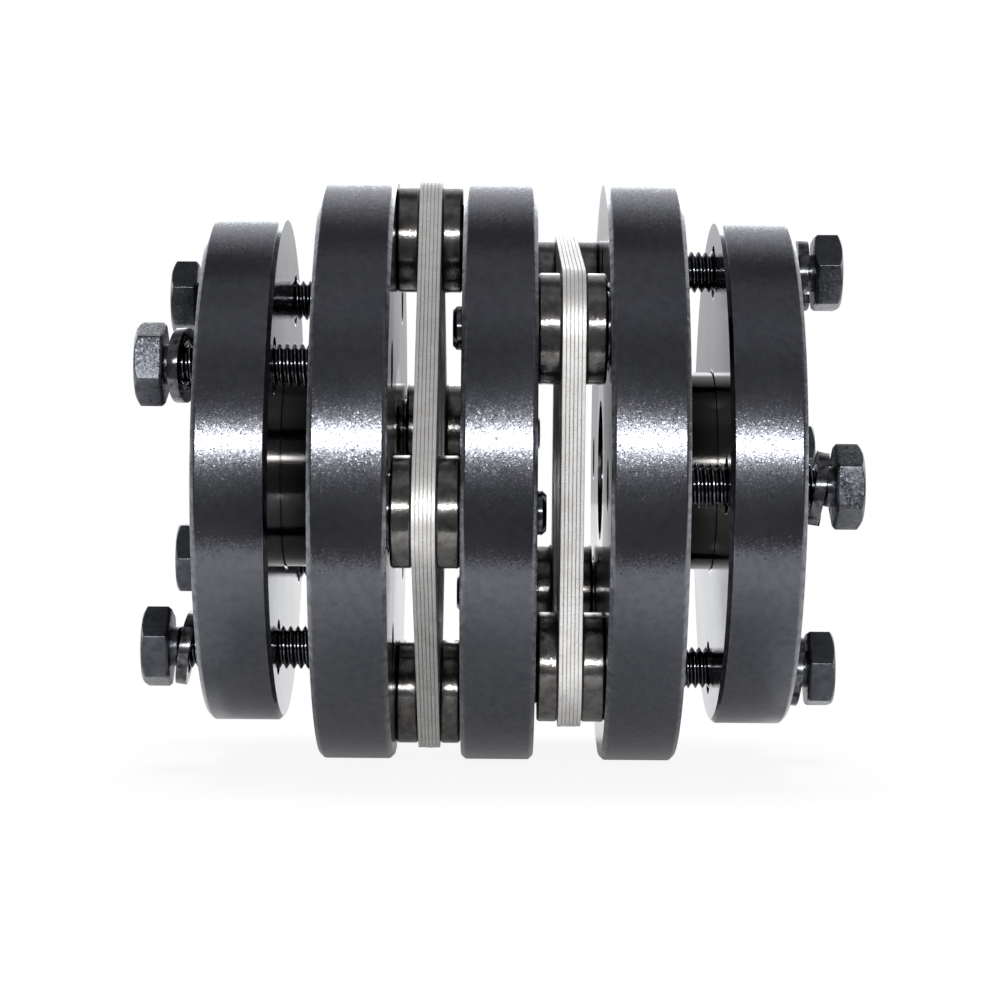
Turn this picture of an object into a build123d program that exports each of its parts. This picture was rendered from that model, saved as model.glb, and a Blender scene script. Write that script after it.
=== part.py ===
from build123d import *
import math
import os

# Double disc-pack shaft coupling with tapered clamping hubs.
#
# Frame: millimetres, origin at the centre of the spacer, +X along the shaft axis, +Z up.
# Every piece is made for the right-hand half (+X), and the left-hand half is the same set
# of pieces turned half a turn about Z, as the real hubs are turned end for end.
# Angles around the shaft are counted from -Y (the front), downwards, in degrees.

# --- Flanges, spacer and axial layout -------------------------------------------------
outside_dia = 82.0          # hub flanges and centre spacer
flange_thickness = 10.3
spacer_thickness = 10.0
spacer_bore_dia = 40.0
rim_chamfer = 0.6           # on every turned rim
mouth_chamfer = 0.5         # on bores and tapped holes

# --- Hub nose and shaft bore ----------------------------------------------------------
shaft_bore_dia = 19.0
nose_dia = 28.0
nose_taper = 4.0            # half angle of the clamping taper, degrees
nose_end_recess = 0.8       # nose end behind the clamp ring's outer face
taper_lead = 0.5            # taper that stands proud of the loosened ring
slit_count = 4
slit_width = 1.2
slit_run_in = 0.7           # slits stop this far inside the clamp ring

# --- Clamp ring -----------------------------------------------------------------------
ring_dia = 71.4
ring_thickness = 10.1
ring_standoff = 5.4         # flange to clamp ring, with the clamp bolts backed out
taper_clearance = 0.05      # radial, nose to loosened ring
ring_hole_clearance = 0.35  # radial, ring hole round a clamp bolt
ring_hole_chamfer = 0.6

# --- Threads and clearances shared by every screw -------------------------------------
thread_dia = 5.9            # M6 thread over its crests, as cut
hole_clearance = 0.05       # radial, screw in a tapped or reamed hole
tip_chamfer = 0.7

# --- Clamp bolts (hexagon head) and their spring washers ------------------------------
clamp_bolt_margin = 7.5     # bolt centre to the clamp ring's rim
clamp_count = 4
clamp_bolt_length = 25.0
hex_across_flats = 9.9
hex_head_height = 3.85
hex_crown = 0.95            # chamfer circle on the head's outer face, share of the flats
hex_foot = 1.06             # chamfer circle on the head's bearing face, share of the flats
hex_chamfer_angle = 30.0
washer_thickness = 1.5
washer_wall = 1.65          # radial
washer_rise = 0.6           # sideways set between the two split ends
washer_split = 20.0         # open angle at the split, degrees
washer_bore_clearance = 0.42  # radial, washer round a bolt
washer_drop_clearance = 0.02  # left between a hanging washer and its bolt
longest_play = 1.5          # play beside the washer of the bolt that is furthest out

# How each clamp bolt was left when it was backed out: the turn of its head, the play left
# beside its leaning washer as a share of the longest, where the washer lies in that play
# (0 on the ring, 1 on the head), the turn of the washer's split from the back, its lean as
# a share of the lean at which it jams on the bolt, and the side that leans to the head.
bolt_poses = {
    "right": [
        dict(head=1, play=0.28, lies=0.55, split=270, lean=0.37, towards=-90),
        dict(head=19, play=0.58, lies=0.95, split=0, lean=0.21, towards=-90),
        dict(head=30, play=0.45, lies=0.4, split=20, lean=0.23, towards=120),
        dict(head=23, play=1.0, lies=0.75, split=224, lean=0.09, towards=-60),
    ],
    "left": [
        dict(head=8, play=0.165, lies=0.05, split=180, lean=0.53, towards=180),
        dict(head=45, play=0.315, lies=0.35, split=160, lean=0.37, towards=150),
        dict(head=29, play=0.49, lies=0.35, split=200, lean=0.37, towards=-20),
        dict(head=47, play=0.66, lies=0.57, split=180, lean=0.37, towards=95),
    ],
}

# --- Disc packs, collars and disc screws ----------------------------------------------
disc_screw_margin = 8.4     # disc screw centre to the flange's rim
sheet_count = 6
sheet_thickness = 0.52
sheet_lobe_radius = 8.1
sheet_bore_dia = 44.0
collar_dia = 14.8
seat_collar_length = 3.14
free_side_gap = 0.3         # room for the pack to flex beside each free collar
collar_chamfer = 0.3
disc_screw_length = 20.0
socket_head_dia = 10.0
socket_head_height = 6.0
socket_head_chamfer = 0.5
socket_across_flats = 5.0
socket_depth = 3.0
socket_head_clearance = 0.75  # radial, screw head in its clearance hole

# --- Places around the shaft (degrees) ------------------------------------------------
half_turn_right = -35.0     # first disc screw of the right-hand half
pack_stagger = 45.0         # one pack against the other
clamp_lead = 39.0           # clamp bolts ahead of the disc screws

# --- Sizes that follow ----------------------------------------------------------------
outside_radius = outside_dia / 2
bore_radius = shaft_bore_dia / 2
nose_radius = nose_dia / 2
disc_circle_radius = outside_radius - disc_screw_margin
clamp_circle_radius = ring_dia / 2 - clamp_bolt_margin
screw_hole_radius = thread_dia / 2 + hole_clearance
ring_hole_radius = thread_dia / 2 + ring_hole_clearance
head_hole_radius = socket_head_dia / 2 + socket_head_clearance
washer_bore_radius = thread_dia / 2 + washer_bore_clearance
washer_radius = washer_bore_radius + washer_wall
washer_height = washer_thickness + washer_rise
pack_thickness = sheet_count * sheet_thickness
free_collar_length = seat_collar_length - free_side_gap

spacer_face = spacer_thickness / 2
pack_inner = spacer_face + seat_collar_length
pack_outer = pack_inner + pack_thickness
flange_inner = pack_outer + seat_collar_length
flange_outer = flange_inner + flange_thickness
ring_inner = flange_outer + ring_standoff
ring_outer = ring_inner + ring_thickness
nose_end = ring_outer - nose_end_recess
taper_start = ring_inner - taper_lead

half_turns = {
    "right": half_turn_right,
    "left": 180.0 - (half_turn_right + pack_stagger),
}
half_frames = {"right": Rot(0, 0, 0), "left": Rot(0, 0, 180)}


def turned(points):
    """A solid turned about the shaft axis from (x, radius) points."""
    profile = make_face(Polyline(*points, close=True))
    return revolve(profile, Axis.X)


def around(angle, radius, shape):
    """The shape, made on the X axis, set out at a radius and turned to an angle."""
    return Rot(angle, 0, 0) * Pos(0, -radius, 0) * shape


def rod(x0, x1, radius):
    """A round bar on the X axis."""
    return Pos((x0 + x1) / 2, 0, 0) * Cylinder(radius, x1 - x0, rotation=(0, 90, 0))


def mouthed_rod(x0, x1, radius, chamfer):
    """What a hole with a chamfered mouth at each end takes away."""
    wide = radius + chamfer
    return turned([(x0, 0), (x0, wide), (x0 + chamfer, radius),
                   (x1 - chamfer, radius), (x1, wide), (x1, 0)])


def nose_radius_at(x):
    """Radius of the clamping taper on the nose."""
    return nose_radius - max(0.0, x - taper_start) * math.tan(math.radians(nose_taper))


def make_hub():
    """Flange and slit nose in one piece, with its first clearance hole at the front."""
    end_radius = nose_radius_at(nose_end - mouth_chamfer)
    hub = turned([
        (flange_inner, bore_radius + mouth_chamfer),
        (flange_inner, outside_radius - rim_chamfer),
        (flange_inner + rim_chamfer, outside_radius),
        (flange_outer - rim_chamfer, outside_radius),
        (flange_outer, outside_radius - rim_chamfer),
        (flange_outer, nose_radius),
        (taper_start, nose_radius),
        (nose_end - mouth_chamfer, end_radius),
        (nose_end, end_radius - mouth_chamfer),
        (nose_end, bore_radius + mouth_chamfer),
        (nose_end - mouth_chamfer, bore_radius),
        (flange_inner + mouth_chamfer, bore_radius),
    ])
    head_hole = rod(flange_inner, flange_outer, head_hole_radius)
    tapped_hole = mouthed_rod(flange_inner, flange_outer, screw_hole_radius, mouth_chamfer)
    for angle in (0, 180):
        hub -= around(angle, disc_circle_radius, head_hole)
        hub -= around(angle + 90, disc_circle_radius, tapped_hole)
    for k in range(clamp_count):
        hub -= around(clamp_lead + k * 360 / clamp_count, clamp_circle_radius, tapped_hole)
    slit_length = nose_end - (ring_inner + slit_run_in)
    slit = Pos(nose_end - slit_length / 2, -nose_radius / 2, 0) * Box(
        slit_length, nose_radius, slit_width)
    for k in range(slit_count):
        hub -= Rot(clamp_lead + (k + 0.5) * 360 / slit_count, 0, 0) * slit
    return hub


def make_clamp_ring():
    """Ring with a tapered bore and its first bolt hole at the front."""
    mouth_radius = nose_radius_at(ring_inner + mouth_chamfer) + taper_clearance
    throat_radius = nose_radius_at(ring_outer - mouth_chamfer) + taper_clearance
    ring_radius = ring_dia / 2
    ring = turned([
        (ring_inner, mouth_radius + mouth_chamfer),
        (ring_inner, ring_radius - rim_chamfer),
        (ring_inner + rim_chamfer, ring_radius),
        (ring_outer - rim_chamfer, ring_radius),
        (ring_outer, ring_radius - rim_chamfer),
        (ring_outer, throat_radius + mouth_chamfer),
        (ring_outer - mouth_chamfer, throat_radius),
        (ring_inner + mouth_chamfer, mouth_radius),
    ])
    bolt_hole = mouthed_rod(ring_inner, ring_outer, ring_hole_radius, ring_hole_chamfer)
    for k in range(clamp_count):
        ring -= around(k * 360 / clamp_count, clamp_circle_radius, bolt_hole)
    return ring


def make_spacer():
    """Plate between the packs: each pack has two tapped holes and two head holes in it."""
    bore = spacer_bore_dia / 2
    spacer = turned([
        (-spacer_face, bore + mouth_chamfer),
        (-spacer_face, outside_radius - rim_chamfer),
        (-spacer_face + rim_chamfer, outside_radius),
        (spacer_face - rim_chamfer, outside_radius),
        (spacer_face, outside_radius - rim_chamfer),
        (spacer_face, bore + mouth_chamfer),
        (spacer_face - mouth_chamfer, bore),
        (-spacer_face + mouth_chamfer, bore),
    ])
    head_hole = rod(-spacer_face, spacer_face, head_hole_radius)
    tapped_hole = mouthed_rod(-spacer_face, spacer_face, screw_hole_radius, mouth_chamfer)
    for side in half_turns:
        for angle in (half_turns[side], half_turns[side] + 180):
            spacer -= half_frames[side] * around(angle, disc_circle_radius, tapped_hole)
            spacer -= half_frames[side] * around(angle + 90, disc_circle_radius, head_hole)
    return spacer


def make_sheet(x0):
    """One square disc sheet: four round lobes, straight webs and a round opening."""
    lobes = [Pos(*corner) * Circle(sheet_lobe_radius) for corner in (
        (0, -disc_circle_radius), (disc_circle_radius, 0),
        (0, disc_circle_radius), (-disc_circle_radius, 0))]
    outline = make_hull([edge for lobe in lobes for edge in lobe.edges()])
    outline -= Circle(sheet_bore_dia / 2)
    for k in range(4):
        outline -= Rot(0, 0, 90 * k) * Pos(disc_circle_radius, 0) * Circle(screw_hole_radius)
    sheet = extrude(outline, sheet_thickness)
    return Pos(x0, 0, 0) * Rot(0, 90, 0) * sheet


def make_collar(x0, length):
    """Chamfered collar that stands between the pack and a flange."""
    radius = collar_dia / 2
    chamfered = radius - collar_chamfer
    x1 = x0 + length
    return turned([
        (x0, screw_hole_radius), (x0, chamfered), (x0 + collar_chamfer, radius),
        (x1 - collar_chamfer, radius), (x1, chamfered), (x1, screw_hole_radius)])


def make_shank(length):
    """Threaded shank from x = 0 to x = length, as a plain bar with a chamfered tip."""
    radius = thread_dia / 2
    return turned([(0, 0), (0, radius), (length - tip_chamfer, radius),
                   (length, radius - tip_chamfer), (length, 0)])


def make_clamp_bolt():
    """Hexagon bolt: bearing face at x = 0, shank towards -X, a flat of the head in front."""
    flats = hex_across_flats / 2
    slope = math.tan(math.radians(hex_chamfer_angle))
    corner = flats / math.cos(math.radians(30)) * 1.1      # just past the corners
    foot = flats * hex_foot
    crown = flats * hex_crown
    hexagon = RegularPolygon(flats, 6, major_radius=False, rotation=30)
    prism = extrude(Plane.YZ * hexagon, hex_head_height)
    envelope = turned([
        (0, 0), (0, foot), ((corner - foot) * slope, corner),
        (hex_head_height - (corner - crown) * slope, corner), (hex_head_height, crown),
        (hex_head_height, 0)])
    return (prism & envelope) + Rot(0, 180, 0) * make_shank(clamp_bolt_length)


def make_disc_screw():
    """Socket head screw: bearing face at x = 0, shank towards +X, head towards -X."""
    head_radius = socket_head_dia / 2
    head = turned([
        (0, 0), (0, head_radius), (socket_head_chamfer - socket_head_height, head_radius),
        (-socket_head_height, head_radius - socket_head_chamfer), (-socket_head_height, 0)])
    hexagon = RegularPolygon(socket_across_flats / 2, 6, major_radius=False)
    socket = Pos(-socket_head_height, 0, 0) * extrude(Plane.YZ * hexagon, socket_depth)
    return head - socket + make_shank(disc_screw_length)


def make_spring_washer():
    """Split spring washer: a square-edged strip wound left-handed, centred on the origin."""
    open_turns = 1 - washer_split / 360
    strip_radius = (washer_bore_radius + washer_radius) / 2
    path = Helix(washer_rise / open_turns, washer_rise, strip_radius, lefthand=True)
    section = Plane(origin=path @ 0, z_dir=path % 0, x_dir=(1, 0, 0)) * Rectangle(
        washer_wall, washer_thickness)
    strip = sweep(section, path=path, is_frenet=True)
    # The strip starts on the X axis: centre it, then lay its axis along X, split at the back.
    centred = Rot(0, 0, washer_split / -2) * Pos(0, 0, -washer_rise / 2) * strip
    return Rot(180, 0, 0) * Rot(0, 90, 0) * Rot(0, 0, -90) * centred


def washer_tilt(pose):
    """A washer's lean in radians: its share of the lean at which it jams on the bolt."""
    return pose["lean"] * math.atan(2 * washer_bore_clearance / washer_height)


def washer_span(pose):
    """Length along the bolt that a leaning washer takes up."""
    tilt = washer_tilt(pose)
    return washer_height * math.cos(tilt) + 2 * washer_radius * math.sin(tilt)


def place_washer(washer, pose):
    """The washer as it hangs on its bolt, with x = 0 on the clamp ring's face."""
    tilt = washer_tilt(pose)
    drop = (washer_bore_radius - thread_dia / 2 / math.cos(tilt)
            - washer_height / 2 * math.tan(tilt) - washer_drop_clearance)
    middle = washer_span(pose) / 2 + pose["lies"] * pose["play"] * longest_play
    lean_frame = Rot(pose["towards"], 0, 0) * Rot(0, 0, math.degrees(tilt))
    turn_to_split = Rot(pose["split"] - pose["towards"], 0, 0)
    return Pos(middle, 0, -drop) * lean_frame * turn_to_split * washer


def save(shape, node):
    """Write one node to its own STEP file."""
    shape.label = node
    export_step(shape, f"parts/{node}.step")


os.makedirs("parts", exist_ok=True)

hub = make_hub()
clamp_ring = make_clamp_ring()
clamp_bolt = make_clamp_bolt()
spring_washer = make_spring_washer()
disc_screw = make_disc_screw()
sheets = [make_sheet(pack_inner + k * sheet_thickness) for k in range(sheet_count)]

save(make_spacer(), "centre_spacer")

for side, frame in half_frames.items():
    turn = half_turns[side]
    save(frame * Rot(turn, 0, 0) * hub, f"hub_{side}")
    save(frame * Rot(turn + clamp_lead, 0, 0) * clamp_ring, f"clamp_ring_{side}")
    for k, sheet in enumerate(sheets, start=1):
        save(frame * Rot(turn, 0, 0) * sheet, f"disc_sheet_{side}_{k}")

    for k, pose in enumerate(bolt_poses[side]):
        angle = math.radians(turn + clamp_lead + k * 360 / clamp_count)
        on_axis = Pos(ring_outer, -clamp_circle_radius * math.cos(angle),
                      -clamp_circle_radius * math.sin(angle))
        head_face = washer_span(pose) + pose["play"] * longest_play
        bolt = Pos(head_face, 0, 0) * Rot(pose["head"], 0, 0) * clamp_bolt
        save(frame * on_axis * bolt, f"clamp_bolt_{side}_{k + 1}")
        save(frame * on_axis * place_washer(spring_washer, pose),
             f"spring_washer_{side}_{k + 1}")

    for k in range(4):
        angle = turn + 90 * k
        if k % 2 == 0:      # threads into the spacer, head in the hub flange
            screw = Pos(flange_inner - free_side_gap, 0, 0) * Rot(0, 180, 0) * disc_screw
            seat_collar = make_collar(spacer_face, seat_collar_length)
            free_collar = make_collar(pack_outer, free_collar_length)
        else:               # threads into the hub flange, head in the spacer
            screw = Pos(spacer_face + free_side_gap, 0, 0) * disc_screw
            seat_collar = make_collar(pack_outer, seat_collar_length)
            free_collar = make_collar(spacer_face + free_side_gap, free_collar_length)
        for shape, name in ((screw, "disc_screw"), (seat_collar, "seat_collar"),
                            (free_collar, "free_collar")):
            save(frame * around(angle, disc_circle_radius, shape), f"{name}_{side}_{k + 1}")
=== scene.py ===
# %% [markdown]
# Disc coupling, dressed for its picture
#
# A disc coupling joins two shafts that never line up quite. A hub is clamped on each shaft, and between
# the hubs thin sheets of spring steel flex and carry the turning force through a centre spacer. The CAD
# model already has every piece in its place. This lesson keeps those places and sizes and gives the
# pieces what a picture needs: softened edges, real threads, rounded wire, loose spring sheets, and the
# finish of each metal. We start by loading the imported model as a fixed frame.

# %% Load the frame
import collections
import math
import bmesh
import bpy
import mathutils
import numpy as np
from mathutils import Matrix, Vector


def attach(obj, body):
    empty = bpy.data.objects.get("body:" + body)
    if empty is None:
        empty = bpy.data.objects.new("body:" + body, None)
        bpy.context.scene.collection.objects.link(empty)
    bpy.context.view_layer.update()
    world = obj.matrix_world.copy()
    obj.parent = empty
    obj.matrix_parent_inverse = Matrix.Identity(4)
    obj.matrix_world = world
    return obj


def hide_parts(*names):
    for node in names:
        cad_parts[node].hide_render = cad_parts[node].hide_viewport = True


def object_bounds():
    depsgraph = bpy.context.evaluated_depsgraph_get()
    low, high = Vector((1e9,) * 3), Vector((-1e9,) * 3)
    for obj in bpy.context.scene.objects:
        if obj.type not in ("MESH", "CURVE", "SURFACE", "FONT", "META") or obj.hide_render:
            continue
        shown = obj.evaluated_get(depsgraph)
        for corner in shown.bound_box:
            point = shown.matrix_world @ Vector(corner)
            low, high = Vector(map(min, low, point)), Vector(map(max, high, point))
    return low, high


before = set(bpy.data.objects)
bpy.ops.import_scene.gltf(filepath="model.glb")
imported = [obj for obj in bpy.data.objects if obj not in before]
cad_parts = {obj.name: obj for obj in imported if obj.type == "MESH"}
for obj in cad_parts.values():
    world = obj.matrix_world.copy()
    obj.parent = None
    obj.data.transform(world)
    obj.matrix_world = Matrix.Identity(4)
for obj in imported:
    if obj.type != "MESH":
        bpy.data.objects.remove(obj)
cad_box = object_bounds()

print("CAD nodes:", len(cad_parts), "box:", [[round(v, 4) for v in corner] for corner in cad_box])

# %% [markdown]
# The pieces stand in line along the shaft axis X, each face to face with the next, so every place along it
# is a sum of lengths. The lengths are the named sizes of the CAD source in millimetres, written out again
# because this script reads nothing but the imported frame. Angles around the shaft start at the front (-Y)
# and grow downwards. Everything is worked out for the right-hand half; the left-hand half is the same set
# given half a turn about Z, as it is when the real one is put together.

# %% Main sizes in millimetres
spacer_face, collar_length, free_gap = 5.0, 3.14, 0.3
sheet_count, sheet_thickness = 6, 0.52
outside_radius, flange_thickness = 41.0, 10.3
ring_standoff, ring_thickness = 5.4, 10.1
disc_circle, clamp_circle, clamp_lead = 32.6, 28.2, 39.0

pack_inner = spacer_face + collar_length
pack_outer = pack_inner + sheet_count * sheet_thickness
flange_inner = pack_outer + collar_length
flange_outer = flange_inner + flange_thickness
ring_inner = flange_outer + ring_standoff
ring_outer = ring_inner + ring_thickness
sides = ("right", "left")
first_screw = {"right": -35.0, "left": 170.0}


def quarters(first):
    """Four angles, in degrees, a quarter of a turn apart."""
    return [first + 90 * k for k in range(4)]


print("flange from", round(flange_inner, 2), "to", round(flange_outer, 2),
      "- clamp ring from", round(ring_inner, 2), "to", round(ring_outer, 2))

# %% [markdown]
# A surface here is a grid of points, rows by columns, kept as a numpy array of shape (rows, columns, 3).
# Blender wants one list of points and one list of faces. A loop over the points could write both, but whole
# arrays are quicker and say more plainly what is meant, so a small helper turns a grid into four-sided faces.

# %% From a grid to faces
def grid_faces(rows, columns, start):
    """Corner numbers of the faces between neighbouring rows and columns, counted from start."""
    corner = np.arange(rows * columns).reshape(rows, columns) + start
    ring = [corner[:-1, :-1], corner[1:, :-1], corner[1:, 1:], corner[:-1, 1:]]
    return np.stack(ring, axis=-1).reshape(-1, 4)


print("faces of a grid of 3 rows and 4 columns:", len(grid_faces(3, 4, 0)))

# %% [markdown]
# The black wears off outside edges first, so the finishes need to know where those are. The mesh keeps at
# each point how far it stands out from its neighbours. The shader has a value of its own for that, but on
# pieces this small it takes close points for one, and streaks appear on flat faces.

# %% Where a piece stands out
def read_array(items, key, width, kind=np.float32):
    """One property of all a mesh's points or edges, as an array of so many columns."""
    values = np.empty(len(items) * width, kind)
    items.foreach_get(key, values)
    return values.reshape(-1, width)


def mark_outside_edges(mesh):
    """Keep on each point how far it stands out: arccos(normal . mean direction of its edges) / pi, then
    the mean of that and its neighbours' values. It is 1/2 on a flat and more on an outside edge."""
    points = read_array(mesh.vertices, "co", 3)
    normals = read_array(mesh.vertex_normals, "vector", 3)
    first, second = read_array(mesh.edges, "vertices", 2, np.int32).T
    way = points[second] - points[first]
    way /= np.linalg.norm(way, axis=1, keepdims=True) + 1e-12
    total = np.zeros_like(points)
    np.add.at(total, first, way)
    np.add.at(total, second, -way)
    count = np.bincount(np.append(first, second), minlength=len(points))
    own = np.arccos(np.clip((normals * total).sum(axis=1) / count, -1, 1)) / np.pi
    mean = own.copy()
    np.add.at(mean, first, own[second])
    np.add.at(mean, second, own[first])
    mean /= count + 1
    stands_out = mesh.attributes.new("stands_out", "FLOAT", "POINT")
    stands_out.data.foreach_set("value", mean.astype(np.float32))


print("edge marking ready")

# %% [markdown]
# A piece is made of several grids: faces, rims and hole walls. Where two grids share an edge their points
# fall in the same place, and welding closes the seam. Rows that shrink to one point become a pole in the
# same step. Shading stays sharp only across folds of more than 28 degrees, as on a machined part.

# %% Weld grids into a closed mesh
millimetre, weld_gap, sliver = 0.001, 1.5e-6, 1e-7
sharp_fold = math.radians(28.0)


def weld(name, grids):
    """One mesh from grids in millimetres: join, merge doubles, face outwards. Also counts open edges."""
    points, faces, start = [], [], 0
    for grid in grids:
        rows, columns = grid.shape[:2]
        points.append(grid.reshape(-1, 3) * millimetre)
        faces.append(grid_faces(rows, columns, start))
        start += rows * columns
    mesh = bpy.data.meshes.new(name)
    mesh.from_pydata(np.concatenate(points).tolist(), [], np.concatenate(faces).tolist())
    work = bmesh.new()
    work.from_mesh(mesh)
    bmesh.ops.remove_doubles(work, verts=work.verts, dist=weld_gap)
    bmesh.ops.dissolve_degenerate(work, edges=work.edges, dist=sliver)
    bmesh.ops.recalc_face_normals(work, faces=work.faces)
    work.to_mesh(mesh)
    open_edges = sum(1 for e in work.edges if not e.is_manifold)
    work.free()
    mesh.shade_smooth()
    mesh.set_sharp_from_angle(angle=sharp_fold)
    mark_outside_edges(mesh)
    return mesh, open_edges


print("grids are welded within", weld_gap / millimetre, "mm")

# %% [markdown]
# Turned pieces come from a lathe, so their shape is a profile swung around an axis. A lathe hand always
# breaks the sharp edges, and those tiny rounds are what catch the light. So each corner of a profile is
# softened with a short curve before it is swung.

# %% Profiles and turning
def soften(profile, reach, steps=3):
    """Round the corners of a profile, an array of shape (rows, ..., 2). A and C lie `reach` before and after
    corner P, or 0.45 of its shorter side if that is less; the curve is (1-s)^2 A + 2s(1-s) P + s^2 C."""
    p = np.asarray(profile, float)
    back, ahead = p[:-2] - p[1:-1], p[2:] - p[1:-1]
    back_length = np.linalg.norm(back, axis=-1, keepdims=True) + 1e-12
    ahead_length = np.linalg.norm(ahead, axis=-1, keepdims=True) + 1e-12
    cut = np.minimum(reach, 0.45 * np.minimum(back_length, ahead_length))
    a, c = p[1:-1] + back / back_length * cut, p[1:-1] + ahead / ahead_length * cut
    s = np.linspace(0, 1, steps + 1).reshape((1, -1) + (1,) * (p.ndim - 1))
    curve = (1 - s) ** 2 * a[:, None] + 2 * s * (1 - s) * p[1:-1][:, None] + s ** 2 * c[:, None]
    return np.concatenate([p[:1], curve.reshape((-1,) + p.shape[1:]), p[-1:]])


def around_axis(x, radius, angle, centre=(0.0, 0.0)):
    """Points at (x, -radius cos(angle), -radius sin(angle)), the axis parallel to X through centre."""
    x, radius, angle = np.broadcast_arrays(x, radius, angle)
    return np.stack([x, centre[0] - radius * np.cos(angle), centre[1] - radius * np.sin(angle)], axis=-1)


def turned(profile, angles, centre=(0.0, 0.0)):
    """A profile of (x, radius) rows swung through the given angles."""
    profile = np.asarray(profile, float)
    return around_axis(profile[:, :1], profile[:, 1:], angles[None, :], centre)


def full_turn(count):
    """Angles all the way round, in so many steps."""
    return np.linspace(0, 2 * np.pi, count + 1)


def station(angle, circle):
    """Where a screw's axis crosses the YZ plane: (-circle cos(angle), -circle sin(angle))."""
    return (-circle * math.cos(math.radians(angle)), -circle * math.sin(math.radians(angle)))


print("a softened square corner:", soften([(0, 0), (1, 0), (1, 1)], 0.2, 2).round(3).tolist())

# %% [markdown]
# Flanges, rings and the thin sheets are all plates: a rim, a middle opening, and a circle of holes. A
# boolean cut would leave long ragged faces, so the plate is laid out in sectors instead, one to each
# hole. In a sector, every point of its border is joined by a straight line to the hole's own edge. The
# hole stays truly round, and the rim, the opening and the hole walls pick up the same points.

# %% One sector of a plate
side_steps, edge_row, edge_share = 8, 0.25, 0.2


def sector_border(x, start, end, inner, outer, arc_steps):
    """Points round a sector: out along the rim and back along the opening. Their radius is
    inner + share (outer(angle) - inner), with share 1 on the rim and 0 on the opening."""
    arc = np.linspace(start, end, arc_steps + 1)
    rise = np.linspace(0, 1, side_steps + 1)
    angle = np.concatenate([arc[:-1], np.full(side_steps, end), arc[:0:-1], np.full(side_steps, start)])
    share = np.concatenate([np.ones(arc_steps), rise[:0:-1], np.zeros(arc_steps), rise[:-1]])
    return around_axis(x, inner + share * (outer(angle) - inner), angle)


def closed(grid):
    """A grid with its first column repeated at the end."""
    return np.concatenate([grid, grid[:, :1]], axis=1)


def face_round_hole(border, x, radius, centre):
    """Flat face between a hole and a border, edge + share (border - edge), and the angles of its columns
    around the hole. A row 0.25 mm from each edge, or a fifth of the way across if that is less, keeps the
    shading of the corners off the face."""
    away = border[:, 1:] - centre
    turn = np.unwrap(np.arctan2(-away[:, 1], -away[:, 0]))
    edge = around_axis(x, radius, turn, centre)
    near = np.minimum(edge_row / np.linalg.norm(border - edge, axis=-1), edge_share)
    share = np.stack([0 * near, near, 0.5 + 0 * near, 1 - near, 1 + 0 * near])
    return closed(edge + share[:, :, None] * (border - edge)), turn


def hole_wall(profile, faces, turns, centre):
    """Wall of a hole. Its columns swing evenly from their angles on one face to those on the other."""
    wall = np.asarray(profile, float)
    along = (wall[:, :1] - faces[0]) / (faces[1] - faces[0])
    second = turns[1] + 2 * np.pi * np.round((turns[0] - turns[1]).mean() / (2 * np.pi))
    return closed(around_axis(wall[:, :1], wall[:, 1:], turns[0] + along * (second - turns[0]), centre))


print("points round a sector:", len(sector_border(0, 0, 1, 1.0, np.ones_like, 12)))

# %% [markdown]
# The whole plate is its sectors, its rim and its opening. Equal sectors would do for equal holes, but a
# flange has holes of two kinds on two circles. So each sector runs from half way to the hole before it to
# half way to the next, and may be wide or narrow.

# %% A plate with holes
def holed_plate(faces, rim, opening, holes, per_turn=192, outline=np.zeros_like):
    """All the grids of a plate.
    faces: x of the two faces. rim, opening: (x, radius) profiles from the first face to the second.
    holes: (angle in degrees, radius of the hole circle, wall profile) with wall rows (x, radius).
    outline: what is added to the rim's radius, as a function of the angle, where it isn't round."""
    holes = sorted(holes, key=lambda hole: hole[0] % 360)
    middles = np.radians([hole[0] % 360 for hole in holes])
    following = np.append(middles[1:], middles[0] + 2 * np.pi)
    ends = (middles + following) / 2
    starts = np.append(ends[-1] - 2 * np.pi, ends[:-1])
    grids, rim_angles = [], []
    for (angle, circle, wall), start, end in zip(holes, starts, ends):
        arc_steps = max(6, round(per_turn * (end - start) / (2 * np.pi)))
        rim_angles.append(np.linspace(start, end, arc_steps + 1)[:-1])
        centre, turns = np.array(station(angle, circle)), []
        for x, row in zip(faces, (0, -1)):
            border = sector_border(x, start, end, opening[row][1],
                                   lambda a: rim[row][1] + outline(a), arc_steps)
            face, turn = face_round_hole(border, x, wall[row][1], centre)
            grids.append(face)
            turns.append(turn)
        grids.append(hole_wall(wall, faces, turns, centre))
    rim_angles = np.concatenate(rim_angles)
    rim_angles = np.append(rim_angles, rim_angles[0] + 2 * np.pi)
    grids.append(np.array([around_axis(x, radius + outline(rim_angles), rim_angles) for x, radius in rim]))
    return grids + [turned(opening, rim_angles)]


small_holes = [(angle, 2, [(0, 0.5), (1, 0.5)]) for angle in quarters(0)]
print("grids of a small ring with four holes:",
      len(holed_plate((0, 1), [(0, 3), (1, 3)], [(0, 1), (1, 1)], small_holes)))

# %% [markdown]
# Five finishes dress the coupling. A painted picture of each could be wrapped round the pieces, but a
# finish worked out in nodes stays sharp close up and fits every side. Two small helpers keep the node
# trees readable: one wires or sets inputs, and one adds a node with its settings and inputs. A third
# starts a finish, with the values that are the same all over set on the shader itself.

# %% Adding and wiring nodes
finishes = {}


def connect(made, **inputs):
    """Give a node its inputs: a socket is wired, any other value is set. In an input's name _ stands for
    a space, and i0, i1 ... are inputs by number."""
    for key, value in inputs.items():
        socket = made.inputs[int(key[1:]) if key[1:].isdigit() else key.replace("_", " ")]
        if isinstance(value, bpy.types.NodeSocket):
            made.id_data.links.new(value, socket)
        else:
            socket.default_value = value
    return made


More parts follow.
